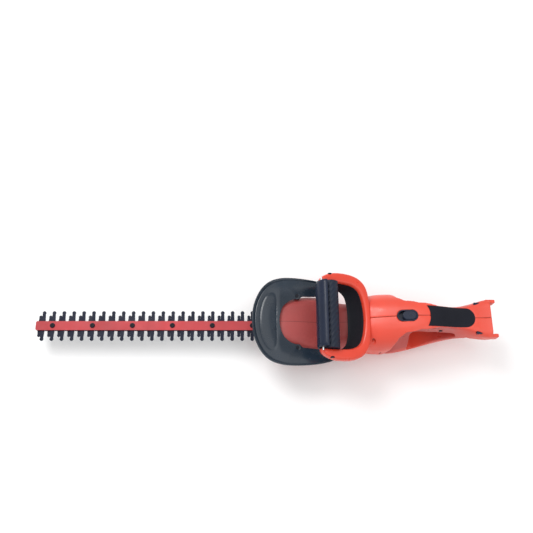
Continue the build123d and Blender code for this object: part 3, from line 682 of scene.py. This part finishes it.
def scooped(points):
    """Points in millimetres pressed in between the scoop's foot and crest, and how much painted shade
    each one gets.
    """
    x, y, z = points[:, 0], points[:, 1], points[:, 2]
    t = np.clip((z - along(x, scoop_foot)) / (along(x, scoop_crest) - along(x, scoop_foot)), 0, 1)
    hollow = np.sin(pi * t**scoop_skew) ** scoop_fullness
    share = np.clip((np.abs(y) - shell_core) / (along(x, shell_half_width) - shell_core), 0, 1)
    depth = along(x, scoop_depth)
    points[:, 1] = y - np.sign(y) * depth * hollow * share
    # painted shade, fading out near the crest and the foot and strongest where the scoop is deep
    sharp = np.clip((1 - t) / scoop_shade_crest_fade, 0, 1) * np.clip(t / scoop_shade_foot_fade, 0, 1)
    return points, scoop_shade_most * sharp * np.clip(depth / scoop_shade_full_depth, 0, 1)


def resurfaced(node, name, mat, move):
    """A smooth, evenly meshed copy of a CAD node that stands for it, with its points moved."""
    copy = nodes[node].copy()
    copy.data = nodes[node].data.copy()
    bpy.context.scene.collection.objects.link(copy)
    remesh = copy.modifiers.new("remesh", "REMESH")
    remesh.mode = "VOXEL"
    remesh.voxel_size = shell_voxel * mm
    smoothing = copy.modifiers.new("smoothing", "SMOOTH")
    smoothing.iterations = shell_smoothing_passes
    smoothing.factor = 0.5
    bpy.context.view_layer.update()
    graph = bpy.context.evaluated_depsgraph_get()
    mesh = bpy.data.meshes.new_from_object(copy.evaluated_get(graph))
    bpy.data.objects.remove(copy)
    flat = np.zeros(len(mesh.vertices) * 3)
    mesh.vertices.foreach_get("co", flat)
    moved, painted_shade = move(flat.reshape(-1, 3) / mm)
    mesh.vertices.foreach_set("co", (moved * mm).ravel())
    # the painted shade of each point, which the scooped material reads
    mesh.attributes.new("hollow", "FLOAT", "POINT").data.foreach_set("value", painted_shade)
    mesh.update()
    mesh.materials.clear()
    mesh.materials.append(mat)
    mesh.shade_smooth()
    piece = bpy.data.objects.new(name, mesh)
    bpy.context.scene.collection.objects.link(piece)
    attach(piece, "body")
    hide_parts(node)
    return piece


for side in ("left", "right"):
    resurfaced(f"rear_housing_{side}", f"rear_shell_{side}", SCOOP_SHADED_ORANGE, scooped)


# ---------------------------------------------------------------------------------------
# Floor, light and camera
# ---------------------------------------------------------------------------------------
floor_half = 6.0
floor_z = -0.0005
world_strength = 0.74
# name, place, target, width and power
lamps = [
    ("key", (-0.9, 1.1, 2.0), (0.05, 0, 0.05), 1.1, 24),
    ("fill", (1.2, -1.4, 1.8), (0.05, 0, 0.05), 1.6, 6),
    ("top", (0.1, 0.1, 2.4), (0.1, 0, 0), 2.2, 12),
]
camera_place = (0.010, -0.3642, 1.4078)
camera_elevation = 69.8
camera_spread = 0.40546  # tangent of half the field of view


def build_stage():
    """A plain pale sheet just under the tool."""
    mesh = bpy.data.meshes.new("floor")
    corners = [(-1, -1), (1, -1), (1, 1), (-1, 1)]
    mesh.from_pydata([(x * floor_half, y * floor_half, floor_z) for x, y in corners], [], [(0, 1, 2, 3)])
    floor = bpy.data.objects.new("floor", mesh)
    bpy.context.scene.collection.objects.link(floor)
    mat, tree, shader = new_material("floor_paper", (0.95, 0.95, 0.95), 0.9)
    clouds = remap(tree, noise(tree, 3.0), 0, 1)
    paper = mix_colour(tree, clouds, (0.94, 0.94, 0.94), (0.96, 0.96, 0.96))
    tree.links.new(paper, shader.inputs["Base Color"])
    mesh.materials.append(mat)


def area_light(name, place, target, size, power):
    """A round white lamp at a place in metres, turned to its target."""
    light = bpy.data.lights.new(name, "AREA")
    light.shape = "DISK"
    light.size = size
    light.energy = power
    lamp = bpy.data.objects.new(name, light)
    bpy.context.scene.collection.objects.link(lamp)
    lamp.location = place
    lamp.rotation_euler = (Vector(target) - Vector(place)).to_track_quat("-Z", "Y").to_euler()


def build_camera():
    """Above the near side, looking down at a point beyond the tool, so it sits low in the view."""
    data = bpy.data.cameras.new("camera")
    camera = bpy.data.objects.new("camera", data)
    bpy.context.scene.collection.objects.link(camera)
    camera.location = camera_place
    camera.rotation_euler = (radians(90 - camera_elevation), 0, 0)
    data.angle = 2 * atan(camera_spread)
    bpy.context.scene.camera = camera


def build_world():
    """An even white surround."""
    world = bpy.data.worlds.new("studio")
    world.use_nodes = True
    background = world.node_tree.nodes["Background"]
    background.inputs["Color"].default_value = (1, 1, 1, 1)
    background.inputs["Strength"].default_value = world_strength
    bpy.context.scene.world = world


build_stage()
build_camera()
for lamp in lamps:
    area_light(*lamp)
build_world()
bpy.context.scene.view_settings.view_transform = "Standard"
